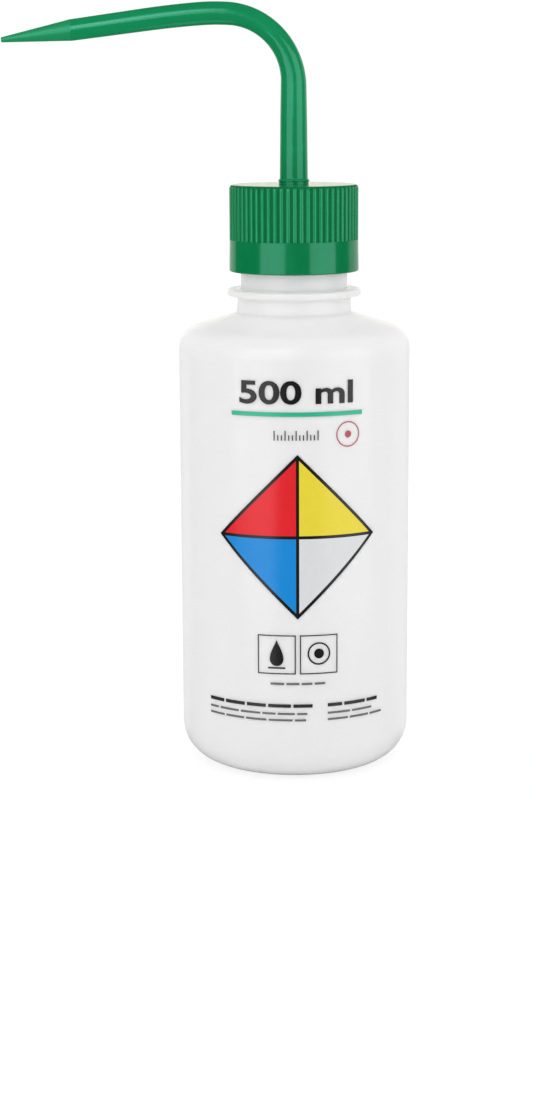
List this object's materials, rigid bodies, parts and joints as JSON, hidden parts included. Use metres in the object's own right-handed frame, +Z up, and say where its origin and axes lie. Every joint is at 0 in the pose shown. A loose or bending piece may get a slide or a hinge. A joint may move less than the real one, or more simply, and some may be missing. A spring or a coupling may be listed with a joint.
{
  "type": "wash bottle",
  "caption": "Squeezable laboratory wash bottle with a ribbed screw cap, a bent tapered spout that swivels in the cap, and a dip tube inside.",
  "frame": {"origin": "middle of the base, in the plane that the bottle stands on", "axes": "+Z up along the bottle's axis, the spout points along -X, the printed side faces -Y"},
  "size_m": [0.1303, 0.075, 0.2466],
  "materials": {
    "bottle_wall": "translucent satin",
    "cap_green": "moulded semi-gloss",
    "spout_green": "moulded gloss",
    "natural_tube": "translucent satin",
    "seal_foam": "matt foam"
  },
  "bodies": {
    "bottle": {"bottle": "bottle_wall"},
    "closure": {"sealing_ring": "seal_foam"},
    "cap": {"screw_cap": "cap_green"},
    "spout": {"spout": "spout_green", "dip_tube": "natural_tube"}
  },
  "joints": [
    {"name": "closure_lift", "type": "slide", "parent": "bottle", "child": "closure", "axis": [0, 0, 1], "range_m": [0, 0.0064]},
    {"name": "cap_turn", "type": "hinge", "parent": "closure", "child": "cap", "pos_m": [0, 0, 0.1756], "axis": [0, 0, 1], "range_deg": [0, 540]},
    {"name": "spout_swivel", "type": "hinge", "parent": "closure", "child": "spout", "pos_m": [0, 0, 0.1884], "axis": [0, 0, 1], "continuous": true}
  ],
  "couplings": [
    {"joint": "closure_lift", "follows": "cap_turn", "m_per_rad": 0.00067376}
  ]
}
